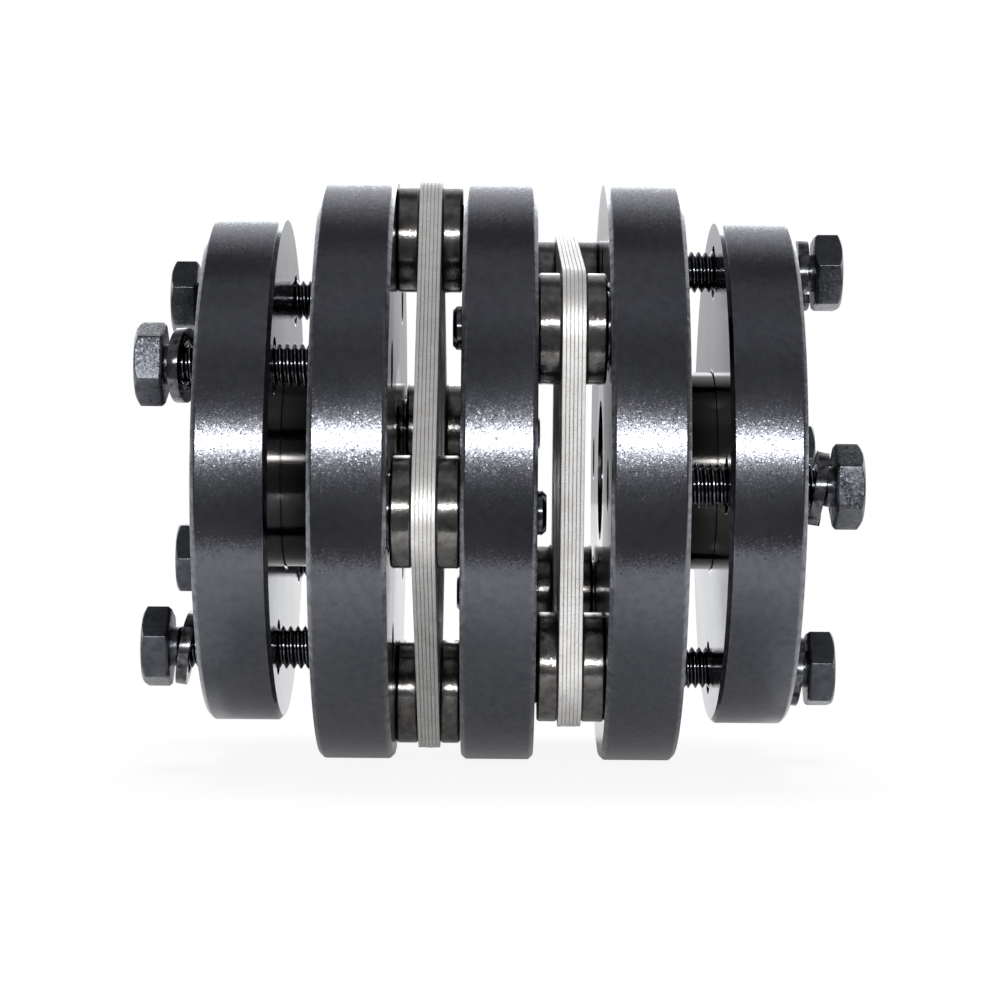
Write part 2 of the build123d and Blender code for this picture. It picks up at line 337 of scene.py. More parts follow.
def node(tree, kind, settings=None, **inputs):
    """Add a shader node with these settings and inputs."""
    made = tree.nodes.new("ShaderNode" + kind)
    for key, value in (settings or {}).items():
        setattr(made, key, value)
    return connect(made, **inputs)


def new_finish(slot, tint, roughness, metallic=1.0):
    """A metal with its plain colour and roughness; returns its tree, its shader and object coordinates."""
    finishes[slot] = bpy.data.materials.new(slot)
    finishes[slot].use_nodes = True
    tree = finishes[slot].node_tree
    shader = connect(tree.nodes["Principled BSDF"], Base_Color=(*tint, 1), Metallic=metallic,
                     Roughness=roughness)
    return tree, shader, node(tree, "TexCoord").outputs["Object"]


print("node helpers ready")

# %% [markdown]
# The finishes do sums on masks and noises. Here each sum gets a short name, so that a finish below reads
# like a recipe: stretch this noise, multiply it by that mask, and blend two colours by the result.

# %% Sums with nodes
def maths(tree, operation, first, second=0.5):
    """One of Blender's sums on two values."""
    return node(tree, "Math", {"operation": operation}, i0=first, i1=second).outputs[0]


def vector_maths(tree, operation, **inputs):
    """One of Blender's sums on vectors; returns the node's outputs."""
    return node(tree, "VectorMath", {"operation": operation}, **inputs).outputs


def product(tree, first, *others):
    """All the values multiplied together."""
    for other in others:
        first = maths(tree, "MULTIPLY", first, other)
    return first


def along_x(tree, vector):
    """The X part of a vector."""
    return node(tree, "SeparateXYZ", Vector=vector).outputs["X"]


def between(tree, value, low, high, to_low=0.0, to_high=1.0):
    """Stretch the part of a value from low to high so that it runs from to_low to to_high."""
    return node(tree, "MapRange", Value=value, From_Min=low, From_Max=high,
                To_Min=to_low, To_Max=to_high).outputs["Result"]


def fade(tree, mask, at_zero, at_one):
    """A mask from 0 to 1 made to run between two other values."""
    return between(tree, mask, 0.0, 1.0, at_zero, at_one)


def blended(tree, share, first, second):
    """Share 0 gives the first colour and share 1 the second; either may come from a node."""
    first, second = [c if isinstance(c, bpy.types.NodeSocket) else (*c, 1) for c in (first, second)]
    return node(tree, "Mix", {"data_type": "RGBA"}, i0=share, i6=first, i7=second).outputs[2]


print("sums ready")

# %% [markdown]
# Three things make metal look real close up. Its colour and gloss vary in soft patches, which is noise. Its
# surface has a fine relief, which is a height turned into dents. And its grain sparkles: a crystal here and
# there faces the lamp. Noise can't do that, so the last is done with little cells, each tipped its own way.

# %% Patches, relief, sparkle and wear
def speckle(tree, where, per_metre, detail=2.0, stretch=(1, 1, 1)):
    """Noise from 0 to 1 with so many features to a metre, drawn out along the axes with a small stretch."""
    if stretch != (1, 1, 1):
        where = node(tree, "Mapping", Vector=where, Scale=stretch).outputs[0]
    return node(tree, "TexNoise", Vector=where, Scale=per_metre, Detail=detail, Roughness=0.55).outputs["Fac"]


def relief(tree, height, depth, before=None):
    """Turn a height from 0 to 1 into small dents, depth metres deep; `before` is relief already there."""
    made = node(tree, "Bump", Strength=1.0, Distance=depth, Height=height)
    if before is not None:
        connect(made, Normal=before)
    return made.outputs["Normal"]


def facets(tree, where, per_metre, tilt):
    """Little cells, each tipped its own way: normal + tilt * strength^2 * (cell colour - 1/2), where strength
    is the cell colour's red. The square leaves most cells nearly level, and the few tipped far sparkle."""
    cell = node(tree, "TexVoronoi", Vector=where, Scale=per_metre).outputs["Color"]
    strength = maths(tree, "POWER", along_x(tree, cell), 2.0)
    centred = node(tree, "Mapping", Vector=cell, Location=(-0.5, -0.5, -0.5)).outputs[0]
    tip = vector_maths(tree, "SCALE", i0=centred, Scale=product(tree, strength, tilt))[0]
    level = node(tree, "NewGeometry").outputs["Normal"]
    return vector_maths(tree, "NORMALIZE", i0=vector_maths(tree, "ADD", i0=level, i1=tip)[0])[0]


def worn_edges(tree, where, fully=0.535):
    """1 along outside edges, broken up by noise, and 0 elsewhere. Wear starts where the mesh's value
    `stands_out` is just above the 1/2 of a flat, and is complete where it reaches `fully`."""
    stands_out = node(tree, "Attribute", {"attribute_name": "stands_out"}).outputs["Fac"]
    patches = between(tree, speckle(tree, where, 900), 0.35, 0.6)
    return product(tree, between(tree, stands_out, 0.508, fully), patches)


print("patches, relief, sparkle and wear ready")

# %% [markdown]
# Hubs, rings and spacer are steel blackened in a hot salt bath. The black is thin, so it still shines like
# metal, only darkly, and it turns brighter at a glancing angle. A lathe leaves fine lines: on a rim they run
# round it, so they change only along the shaft, and on a face they are circles, so they change only with the
# distance from the shaft. So the finish first asks where on the piece it is. The noses were ground, so near
# the shaft it is smoother.

# %% Where on a turned piece
def turned_masks(tree, where):
    """Distance from the shaft, the length of (0, y, z); 0 on the ground nose and 1 from radius 14.8 mm out;
    0 on rims and 1 on side faces, by the square of the normal's X part."""
    across = vector_maths(tree, "MULTIPLY", i0=where, i1=(0, 1, 1))[0]
    distance = vector_maths(tree, "LENGTH", i0=across)["Value"]
    facing = along_x(tree, node(tree, "TexCoord").outputs["Normal"])
    side_face = between(tree, product(tree, facing, facing), 0.3, 0.9)
    return distance, between(tree, distance, 0.0144, 0.0148), side_face


print("masks ready")

# %% [markdown]
# One noise could stand for the whole surface, but the real black has several scales on top of each other:
# clouds from the bath, the turning lines, and the fine grain of the black itself, which makes the bright
# line on each rim sparkle at its borders. Each gets its own noise here, and each has its say in the colour,
# the gloss and the relief. The side faces also have paler bands, where the tool's feed changed.

# %% Blackened turned steel
deep_black, pale_black, grain_black = (0.088, 0.091, 0.107), (0.112, 0.115, 0.13), (0.118, 0.121, 0.137)
darker_nose, feed_band, bare_steel = (0.085, 0.082, 0.078), (0.15, 0.153, 0.168), (0.36, 0.37, 0.39)


def blackened_turned_steel():
    """Colour: two blacks in clouds, then grain, nose, bands and bare edges. Roughness: clouds, and less on
    nose, side faces and edges. Relief: sparkle, grain, lines round the rims and circles on the faces."""
    tree, shader, where = new_finish("turned_steel", (0.1, 0.104, 0.12), 0.2)
    distance, outer, side_face = turned_masks(tree, where)
    clouds, grain = speckle(tree, where, 70, 3.0), speckle(tree, where, 4200, 1.5)
    rim_lines = speckle(tree, where, 5200, 1.0, (1, 0.012, 0.012))
    circles = node(tree, "CombineXYZ", X=distance, Y=product(tree, along_x(tree, where), 0.02)).outputs[0]
    face_lines, face_bands = speckle(tree, circles, 3400, 2.0), speckle(tree, circles, 650, 3.0)
    wear = worn_edges(tree, where)

    colour = blended(tree, between(tree, clouds, 0.35, 0.65), deep_black, pale_black)
    colour = blended(tree, between(tree, grain, 0.3, 0.75), colour, grain_black)
    # Near the shaft the colour is darker and a little warmer than elsewhere.
    colour = blended(tree, outer, darker_nose, colour)
    bands = product(tree, between(tree, face_bands, 0.4, 0.65, 0.0, 0.5), side_face)
    colour = blended(tree, bands, colour, feed_band)
    colour = blended(tree, product(tree, wear, 0.55), colour, bare_steel)

    roughness = product(tree, between(tree, clouds, 0.3, 0.7, 0.185, 0.222), fade(tree, outer, 0.6, 1.0),
                        fade(tree, side_face, 1.0, 0.7), fade(tree, wear, 1.0, 0.85))

    on_rim = fade(tree, side_face, 1.0, 0.15)
    bumps = facets(tree, where, 5200, product(tree, on_rim, fade(tree, outer, 0.0, 0.125)))
    bumps = relief(tree, product(tree, grain, on_rim, fade(tree, outer, 0.1, 1.0)), 6.5e-6, bumps)
    bumps = relief(tree, rim_lines, 1.2e-6, bumps)
    bumps = relief(tree, product(tree, face_lines, side_face), 5e-6, bumps)
    connect(shader, Base_Color=colour, Roughness=roughness, Normal=bumps)


blackened_turned_steel()
print("finish:", finishes["turned_steel"].name, len(finishes["turned_steel"].node_tree.nodes), "nodes")

# %% [markdown]
# The collars are turned and polished, with a thin straw-brown stain from the same bath. The blackened steel
# could serve for them too, but they reflect their neighbours more clearly, so they get their own finish:
# the grain is shallow, and the turning lines do most of the work.

# %% Polished collar steel
dark_stain, straw_stain, bare_collar = (0.118, 0.112, 0.107), (0.146, 0.141, 0.138), (0.5, 0.49, 0.47)


def polished_collar_steel():
    """Colour: a stain in clouds, and bare edges. Relief: sparkle, grain, and lines round the collar."""
    tree, shader, where = new_finish("collar_steel", (0.115, 0.11, 0.107), 0.19)
    clouds = speckle(tree, where, 260, 2.0)
    stain = blended(tree, between(tree, clouds, 0.35, 0.65), dark_stain, straw_stain)
    colour = blended(tree, product(tree, worn_edges(tree, where), 0.6), stain, bare_collar)
    bumps = relief(tree, speckle(tree, where, 3200, 1.0), 5e-6, facets(tree, where, 6000, 0.1))
    bumps = relief(tree, speckle(tree, where, 9000, 1.0, (1, 0.02, 0.02)), 2e-6, bumps)
    connect(shader, Base_Color=colour, Roughness=between(tree, clouds, 0.3, 0.7, 0.15, 0.19), Normal=bumps)


polished_collar_steel()
print("finish: collar_steel")

# %% [markdown]
# Bolts and screws are forged and rolled, then blackened, so their grain is coarser and in patches, with
# small glints. The threads lie in their own shade and show little of it, so the grain is kept to the
# hexagon heads, which all start more than 43.8 mm from the middle. The black rubs off first along the
# corners of the heads and the crests of the threads.

# %% Blackened bolt steel
bolt_black, bolt_grey = (0.058, 0.061, 0.071), (0.078, 0.082, 0.094)
scale_patch, bare_bolt = (0.045, 0.047, 0.054), (0.4, 0.41, 0.43)


def blackened_bolt_steel():
    """Colour: two blacks in clouds, dark patches and bare edges. Roughness and grain: more on the heads."""
    tree, shader, where = new_finish("bolt_steel", (0.07, 0.074, 0.084), 0.3)
    clouds, patches = speckle(tree, where, 420, 3.0), speckle(tree, where, 1100, 3.0)
    head = between(tree, maths(tree, "ABSOLUTE", along_x(tree, where)), 0.0436, 0.0438)
    colour = blended(tree, between(tree, clouds, 0.35, 0.65), bolt_black, bolt_grey)
    colour = blended(tree, between(tree, patches, 0.5, 0.68, 0.0, 0.6), colour, scale_patch)
    wear = worn_edges(tree, where, fully=0.57)
    colour = blended(tree, product(tree, wear, 0.6), colour, bare_bolt)
    roughness = product(tree, between(tree, clouds, 0.3, 0.7, 0.24, 0.36), fade(tree, head, 0.55, 1.0))
    grain = product(tree, speckle(tree, where, 2200, 2.0), head)
    bumps = relief(tree, grain, 1.8e-5, facets(tree, where, 4200, product(tree, head, 0.3)))
    connect(shader, Base_Color=colour, Roughness=roughness, Normal=bumps)


blackened_bolt_steel()
print("finish: bolt_steel")

# %% [markdown]
# Spring washers are wound from drawn wire, so faint lines run along the wire, and the hardening leaves
# them blue-black and glossier than the bolts. A noise drawn out around the bolt would need each washer's own
# axis; one drawn out across the shaft looks the same on a piece this narrow, and one finish does for all.

# %% Hardened washer steel
washer_black, washer_blue, bare_washer = (0.028, 0.029, 0.033), (0.055, 0.057, 0.062), (0.38, 0.38, 0.39)


def hardened_washer_steel():
    """Colour: two blacks in clouds, and bare edges. Relief: grain, and lines along the wire."""
    tree, shader, where = new_finish("washer_steel", (0.05, 0.052, 0.057), 0.25)
    clouds = speckle(tree, where, 500, 2.0)
    colour = blended(tree, between(tree, clouds, 0.35, 0.65), washer_black, washer_blue)
    colour = blended(tree, product(tree, worn_edges(tree, where), 0.5), colour, bare_washer)
    bumps = relief(tree, speckle(tree, where, 2600, 2.0), 7e-6)
    bumps = relief(tree, speckle(tree, where, 6000, 1.0, (1, 0.06, 0.06)), 1.5e-6, bumps)
    connect(shader, Base_Color=colour, Roughness=between(tree, clouds, 0.3, 0.7, 0.13, 0.2), Normal=bumps)


hardened_washer_steel()
print("finish: washer_steel")

# %% [markdown]
# The sheets are stamped from bare stainless strip. Nearly all that shows is their edges, and a stamped
# edge is a sheared band: short scratches run across its thickness, half of it shiny, half of it torn and
# dull. The noise is therefore drawn out along the shaft, which is across every sheet. The torn half throws
# light back every way, as paint does, so a tenth of the shader isn't metal.

# %% Stamped spring sheet
strip_grey, strip_white, scratch_grey = (0.78, 0.765, 0.74), (0.92, 0.915, 0.905), (0.5, 0.49, 0.47)


def stamped_spring_sheet():
    """Colour: two pale greys in clouds, darker in the scratches. Roughness and relief: the scratches."""
    tree, shader, where = new_finish("spring_sheet", (0.85, 0.84, 0.82), 0.5, metallic=0.9)
    clouds, scratches = speckle(tree, where, 380, 3.0), speckle(tree, where, 4200, 2.0, (0.45, 1, 1))
    colour = blended(tree, between(tree, clouds, 0.3, 0.7), strip_grey, strip_white)
    colour = blended(tree, between(tree, scratches, 0.5, 0.8, 0.0, 0.5), colour, scratch_grey)
    roughness = between(tree, scratches, 0.3, 0.7, 0.45, 0.6)
    connect(shader, Base_Color=colour, Roughness=roughness, Normal=relief(tree, scratches, 2e-5))


stamped_spring_sheet()
print("finish: spring_sheet - finishes in all:", sorted(finishes))

# %% [markdown]
# Every finished piece takes the place of one CAD node. It keeps the node's place in its own mesh, rides on
# the coupling's one rigid body, and names the finish it wears. One helper does this for all of them, and
# keeps a tally of faces and open edges, because a closed piece has none open.

# %% Put a piece in the scene
tally = {}


def add_piece(name, cad_node, slot, grids, side="right"):
    """Put a finished piece in the scene in place of its CAD node, and say what it rides on.
    The left-hand half is given half a turn about Z: (x, y, z) becomes (-x, -y, z)."""
    if side == "left":
        grids = [grid * np.array([-1.0, -1.0, 1.0]) for grid in grids]
    mesh, open_edges = weld(name, grids)
    piece = bpy.data.objects.new(name, mesh)
    bpy.context.scene.collection.objects.link(piece)
    mesh.materials.append(finishes[slot])
    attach(piece, "root")
    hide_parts(cad_node)
    tally[name] = (len(mesh.polygons), open_edges)


print("finished pieces so far:", len(tally))

# %% [markdown]
# Rims and holes have the same kind of profile: a straight wall with a chamfer at each end. A rim's chamfer
# takes its ends in, and a hole's opens its mouth. Tapped holes have a wide mouth, so that the first thread
# isn't pushed out; drilled ones are only rid of their burr.

# %% Rim and hole profiles
rim_chamfer, mouth_chamfer, broken_edge = 0.6, 0.5, 0.12
screw_hole_radius, head_hole_radius = 3.0, 5.75


def chamfered(x0, x1, radius, chamfer, reach, steps):
    """A wall with a 45 degree chamfer at each end, its corners softened; a rim has a negative chamfer."""
    end, depth = radius + chamfer, abs(chamfer)
    return soften([(x0, end), (x0 + depth, radius), (x1 - depth, radius), (x1, end)], reach, steps)


def rim_profile(x0, x1, radius):
    """A turned rim: chamfer, land, chamfer."""
    return chamfered(x0, x1, radius, -rim_chamfer, 0.18, 4)


def drilled(x0, x1, radius):
    """Wall of a plain hole with its edges just broken."""
    return chamfered(x0, x1, radius, broken_edge, 0.05, 1)


def tapped(x0, x1, radius, mouth=mouth_chamfer):
    """Wall of a tapped hole: a chamfered mouth at each end."""
    return chamfered(x0, x1, radius, mouth, 0.06, 2)


def disc_screw_hole(x0, x1, angle, threaded):
    """A place on the disc screws' circle: tapped for a screw's thread, or drilled to let its head in."""
    wall = tapped(x0, x1, screw_hole_radius) if threaded else drilled(x0, x1, head_hole_radius)
    return (angle, disc_circle, wall)


print("rows of a rim profile:", len(rim_profile(0, flange_thickness, outside_radius)))

# %% [markdown]
# The spacer is the plate between the two packs. Each pack puts two tapped holes and two clearance holes
# in it, so eight holes alternate around one circle. The left-hand pack's angles are seen from its own side,
# so they are counted back from half a turn.

# %% Centre spacer
spacer_bore = 20.0
spacer_holes = []
for side in sides:
    for k, angle in enumerate(quarters(first_screw[side])):
        angle = angle if side == "right" else 180 - angle
        spacer_holes.append(disc_screw_hole(-spacer_face, spacer_face, angle, threaded=k % 2 == 0))
add_piece("spacer_plate", "centre_spacer", "turned_steel",
          holed_plate((-spacer_face, spacer_face), rim_profile(-spacer_face, spacer_face, outside_radius),
                      chamfered(-spacer_face, spacer_face, spacer_bore, mouth_chamfer, 0.1, 3), spacer_holes))
print("spacer faces and open edges:", tally["spacer_plate"])

# %% [markdown]
# A hub is a flange with a slit nose, turned from one bar. The nose tapers, and four slits let it close on
# the shaft when the ring is drawn over it. Cutting the slits with a boolean would break up the smooth cone,
# so the nose is a profile swung around the shaft, with columns of points along both edges of every slit:
# the slit can simply be left out of the grid and walled in.

# %% Hub noses
bore_radius, nose_radius, nose_taper = 9.5, 14.0, math.radians(4.0)
nose_end_recess, taper_lead, slit_width, slit_run_in = 0.8, 0.5, 1.2, 0.7
fillet, fillet_middle = 0.35, 0.1
nose_end, taper_start = ring_outer - nose_end_recess, ring_inner - taper_lead
slit_start = ring_inner + slit_run_in


def nose_radius_at(x):
    """Radius of the clamping taper: it falls by tan(4 degrees) for each millimetre past its start."""
    return nose_radius - max(0.0, x - taper_start) * math.tan(nose_taper)


def nose_profile():
    """Rows of (x, radius) from the flange out along the outside and back along the bore. Then the numbers
    of the first and last slit row, and how many slit rows are outside. A fillet joins root and flange."""
    tip = nose_radius_at(nose_end - mouth_chamfer)
    root = [(flange_outer, bore_radius), (flange_outer, nose_radius + fillet),
            (flange_outer + fillet_middle, nose_radius + fillet_middle), (flange_outer + fillet, nose_radius),
            (taper_start, nose_radius)]
    outside = [(slit_start, nose_radius_at(slit_start)), (nose_end - mouth_chamfer, tip),
               (nose_end, tip - mouth_chamfer)]
    inside = [(nose_end, bore_radius + mouth_chamfer), (nose_end - mouth_chamfer, bore_radius),
              (slit_start, bore_radius)]
    rows = np.array(root + outside + inside + root[:1])
    return rows, len(root), len(root) + len(outside) + len(inside) - 1, len(outside)


def slit_nose(first_slit):
    """Grids of the nose. A slit's edges stand at its angle -/+ arcsin(half its width / radius)."""
    rows, first, last, outside = nose_profile()
    edge = np.arcsin(slit_width / 2 / rows[:, 1:])
    grids = []
    for slit in np.radians(quarters(first_slit)):
        start, end = slit + edge, slit + math.pi / 2 - edge
        land = np.linspace(0, 1, 33)
        grids.append(around_axis(rows[:, :1], rows[:, 1:], start + land * (end - start)))
        bridge = around_axis(rows[:, :1], rows[:, 1:], slit + edge * np.linspace(-1, 1, 5))
        grids += [bridge[:first + 1], bridge[last:], bridge[[first, last]]]
        for column in (0, -1):
            wall = bridge[:, column]
            grids.append(np.stack([wall[first:first + outside], wall[first + outside:last + 1][::-1]]))
    return grids


print("nose grids:", len(slit_nose(0.0)))

# %% [markdown]
# The flange is a plate again. It has four places for the disc screws, tapped and drilled in turn, and four
# tapped holes for the clamp bolts. Flange and nose could share their points, but then each would need the
# other's columns: as two closed shapes that meet face to face, each keeps its own.

# %% Hubs
for side in sides:
    first_clamp = first_screw[side] + clamp_lead
    holes = [disc_screw_hole(flange_inner, flange_outer, angle, threaded=k % 2 == 1)
             for k, angle in enumerate(quarters(first_screw[side]))]
    holes += [(angle, clamp_circle, tapped(flange_inner, flange_outer, screw_hole_radius))
              for angle in quarters(first_clamp)]
    bore = soften([(flange_inner, bore_radius + mouth_chamfer), (flange_inner + mouth_chamfer, bore_radius),
                   (flange_outer, bore_radius)], 0.1, 3)
    rim = rim_profile(flange_inner, flange_outer, outside_radius)
    flange = holed_plate((flange_inner, flange_outer), rim, bore, holes)
    add_piece(f"hub_and_nose_{side}", f"hub_{side}", "turned_steel",
              flange + slit_nose(first_clamp + 45), side)
print("hub faces and open edges:", tally["hub_and_nose_right"], tally["hub_and_nose_left"])

# %% [markdown]
# Four bolts draw the clamp ring over the nose, and its matching taper squeezes the nose on the shaft. It
# could be swung as one profile, but its bolt holes make it a plate too, with the taper as its opening.

# %% Clamp rings
ring_radius, ring_hole_radius, ring_hole_chamfer, taper_clearance = 35.7, 3.3, 0.6, 0.05
mouth = nose_radius_at(ring_inner + mouth_chamfer) + taper_clearance
throat = nose_radius_at(ring_outer - mouth_chamfer) + taper_clearance
taper = soften([(ring_inner, mouth + mouth_chamfer), (ring_inner + mouth_chamfer, mouth),
                (ring_outer - mouth_chamfer, throat), (ring_outer, throat + mouth_chamfer)], 0.1, 3)
bolt_hole = tapped(ring_inner, ring_outer, ring_hole_radius, ring_hole_chamfer)
for side in sides:
    bolt_holes = [(angle, clamp_circle, bolt_hole) for angle in quarters(first_screw[side] + clamp_lead)]
    rim = rim_profile(ring_inner, ring_outer, ring_radius)
    add_piece(f"tapered_ring_{side}", f"clamp_ring_{side}", "turned_steel",
              holed_plate((ring_inner, ring_outer), rim, taper, bolt_holes), side)
print("ring faces and open edges:", tally["tapered_ring_right"])

# %% [markdown]
# Each pack is six thin sheets of spring steel with four lobes. The rim of a sheet follows a lobe's arc
# and then the straight web that touches two lobes. It could be drawn as arcs and lines joined end to end,
# but as a radius that changes with the angle, it is simply a plate whose rim isn't round.

# %% Outline of a sheet
sheet_lobe, sheet_bore, sheet_hole_radius = 8.1, 22.0, 3.05


def sheet_outline(angle, shift=0.0):
    """Radius of the sheet's rim by angle.
    On a lobe: R cos t + sqrt(r^2 - R^2 sin^2 t). On a web: (R cos 45 + r) / cos(t - 45)."""
    t = np.abs((angle - shift + np.pi / 4) % (np.pi / 2) - np.pi / 4)
    touch = math.atan2(sheet_lobe * math.sin(math.pi / 4), disc_circle + sheet_lobe * math.cos(math.pi / 4))
    under_root = sheet_lobe ** 2 - (disc_circle * np.sin(t)) ** 2
    lobe = disc_circle * np.cos(t) + np.sqrt(np.maximum(under_root, 0.0))
    web = (disc_circle * math.cos(math.pi / 4) + sheet_lobe) / np.cos(t - math.pi / 4)
    return np.where(t < touch, lobe, web)


print("a lobe reaches", sheet_outline(np.array([0.0]))[0], "mm")

# %% [markdown]
# Stamped sheets never line up quite. Drawn all alike they would read as one block, so each one gets its own
# tiny turn and set, from a fixed seed, and the light shows the pack as separate leaves. The punch also
# draws the rim down a little towards both faces.

# %% Disc sheets
sheet_slack, burr_chamfer = 0.02, 0.08
drawn_edge = [(0, -0.06), (0.025, -0.015), (0.07, 0)]
spread = np.random.default_rng(7)
for side in sides:
    for k in range(sheet_count):
        x0 = pack_inner + k * sheet_thickness + sheet_slack
        x1 = x0 + sheet_thickness - 2 * sheet_slack
        inset = spread.uniform(-0.05, 0.0)
        shift = math.radians(first_screw[side] + spread.uniform(-0.12, 0.12))
        rim = [(x0 + in_from_face, inset + fall) for in_from_face, fall in drawn_edge]
        rim += [(x1 - in_from_face, inset + fall) for in_from_face, fall in drawn_edge[::-1]]
        opening = [(x0, sheet_bore + burr_chamfer), (x0 + burr_chamfer, sheet_bore),
                   (x1 - burr_chamfer, sheet_bore), (x1, sheet_bore + burr_chamfer)]
        holes = [(angle, disc_circle, [(x0, sheet_hole_radius), (x1, sheet_hole_radius)])
                 for angle in quarters(first_screw[side])]
        leaf = holed_plate((x0, x1), rim, opening, holes, per_turn=240,
                           outline=lambda angle: sheet_outline(angle, shift))
        add_piece(f"spring_leaf_{side}_{k + 1}", f"disc_sheet_{side}_{k + 1}", "spring_sheet", leaf, side)
print("leaf faces and open edges:", tally["spring_leaf_right_1"])

# %% [markdown]
# At each screw a collar on either side of the pack keeps it off the flange and the spacer, so that it has
# room to flex. One of the two is clamped, and the other is a little shorter and has a gap beside it. They
# are simple turned rings, so one closed profile is swung around the screw's axis.

# %% Collars
collar_radius, collar_chamfer, collar_hole_radius = 7.4, 0.3, 3.05


def collar(x0, length, angle):
    """A turned ring around a screw's axis: its profile from the hole, over the outside, back to the hole."""
    x1, edge_radius = x0 + length, collar_radius - collar_chamfer
    outside = [(x0, edge_radius), (x0 + collar_chamfer, collar_radius),
               (x1 - collar_chamfer, collar_radius), (x1, edge_radius)]
    profile = soften([(x0, collar_hole_radius), *outside, (x1, collar_hole_radius)], 0.1, 3)
    return turned(np.concatenate([profile, profile[:1]]), full_turn(96), station(angle, disc_circle))


for side in sides:
    for k, angle in enumerate(quarters(first_screw[side])):
        seat, free = (spacer_face, pack_outer) if k % 2 == 0 else (pack_outer, spacer_face + free_gap)
        add_piece(f"seat_ring_{side}_{k + 1}", f"seat_collar_{side}_{k + 1}", "collar_steel",
                  [collar(seat, collar_length, angle)], side)
        add_piece(f"free_ring_{side}_{k + 1}", f"free_collar_{side}_{k + 1}", "collar_steel",
                  [collar(free, collar_length - free_gap, angle)], side)
print("collar faces and open edges:", tally["seat_ring_right_1"], tally["free_ring_right_1"])

# %% [markdown]
# A thread is one V-shaped groove wound round a bar. It could be a profile carried along a helix, but its
# ends are then hard to close. If instead the rows of a bar's grid climb one pitch in each turn, they run
# along the crests and roots, and a few rows give a thread with crisp edges. At both ends the rows are held
# at the end plane, and the radius is read from the thread at that place.

# %% Threads
thread_radius, thread_pitch, thread_depth = 2.95, 1.0, 0.6134
crest, flank = 0.125, 0.354
thread_stops = [0, crest, crest + flank, 1 - flank]
neck_length, runout_length, neck_depth, tip_chamfer = 1.125, 0.521, 0.25, 0.5
pilot_radius, pilot_chamfer = thread_radius - 0.05, 0.55


def thread_radius_at(along):
    """Radius by distance along the thread, in pitches: crest, 60 degree flank, root, flank."""
    root_radius = thread_radius - thread_depth
    radii = [thread_radius, thread_radius, root_radius, root_radius, thread_radius]
    return np.interp(along % 1.0, thread_stops + [1], radii)


def threaded_rod(length, plain_tip=0.0):
    """A rod from x = 0 to x = length, plain for the first 1.1 mm and for plain_tip at the end.
    x = row + turn / full turn, held between 0 and the thread's end; radius = the least of thread and
    chamfer. A plain tip is a few more rows of one radius each, down to a chamfer."""
    rows = (np.arange(-1, math.ceil(length / thread_pitch) + 1)[:, None] + np.array(thread_stops)).ravel()
    turn = full_turn(48)
    x = np.clip((rows[:, None] + turn / (2 * np.pi)) * thread_pitch, 0.0, length - plain_tip)
    radius = thread_radius_at(x / thread_pitch - turn / (2 * np.pi))
    runout = np.clip((x - neck_length) / runout_length, 0.0, 1.0)
    radius = thread_radius - neck_depth + runout * (radius - thread_radius + neck_depth)
    radius = np.minimum(radius, thread_radius - tip_chamfer + (length - x))
    grid = around_axis(x, radius, turn)
    if plain_tip:
        tip = soften([(length - plain_tip, 0), (length - plain_tip, pilot_radius),
                      (length - pilot_chamfer, pilot_radius), (length, pilot_radius - pilot_chamfer),
                      (length, 0)], 0.08, 2)
        grid = np.concatenate([grid, turned(tip[1:], turn)])
    start, end = grid[:1] * [1, 0, 0], grid[-1:] * [1, 0, 0]
    return np.concatenate([start, grid, end])


print("thread rows and columns:", threaded_rod(25.0).shape[:2])

# %% [markdown]
# A hexagon is used twice: outside, for the bolts' heads, and inside, for the sockets of the screws. A bar
# with six flat sides would do from far off, but forged corners are rounded, and the light runs down them.
# So a hexagon is a distance from the middle that changes with the angle.

# %% Hexagons
def flat_end(flats, corner):
    """Angle from the middle of a flat to the start of its rounded corner."""
    return math.atan((flats - corner) * math.tan(math.pi / 6) / flats)


def hexagon(turn, flats, corner):
    """Distance from the middle to a hexagon with rounded corners, by angle; a flat lies at angle 0.
    On a flat: flats / cos t. At a corner: d cos u + sqrt(c^2 - d^2 sin^2 u), u = 30 degrees - t."""
    t = np.abs((turn + np.pi / 6) % (np.pi / 3) - np.pi / 6)
    reach, u = (flats - corner) / math.cos(math.pi / 6), math.pi / 6 - t
    round_part = reach * np.cos(u) + np.sqrt(np.maximum(corner ** 2 - (reach * np.sin(u)) ** 2, 0.0))
    return np.where(t < flat_end(flats, corner), flats / np.cos(t), round_part)


def hexagon_turns(flats, corner):
    """Angles that put columns on each flat's ends and round each corner."""
    ends = flat_end(flats, corner)
    one = np.concatenate([np.linspace(-ends, ends, 9), np.linspace(ends, np.pi / 3 - ends, 7)[1:-1]])
    turns = (one[None, :] + np.arange(6)[:, None] * np.pi / 3).ravel()
    return np.append(turns, turns[0] + 2 * np.pi)


def swung(rows, turn, reach, steps):
    """Softened grid from rows of (x, radius), where either may change with the angle."""
    rows = np.array([np.stack(np.broadcast_arrays(x, radius, turn)[:2], axis=-1) for x, radius in rows])
    rows = soften(rows, reach, steps)
    return around_axis(rows[..., 0], rows[..., 1], turn)


print("columns round a hexagon:", len(hexagon_turns(5.0, 0.25)))

# %% [markdown]
# A bolt's head is a hexagon whose corners were turned off at 30 degrees on a lathe, which leaves a curve on
# each flat. Seen as a profile that changes with the angle, each column runs from the bearing face up the
# side, over the chamfer, and in to the middle of the crown.

# %% Hexagon heads
hex_flats, hex_height, hex_corner = 4.95, 3.85, 0.25
hex_crown, hex_foot, hex_slope = hex_flats * 0.95, hex_flats * 1.06, math.tan(math.radians(30))
foot_inset, foot_rise, crown_fall = 0.2, 0.42, 0.05


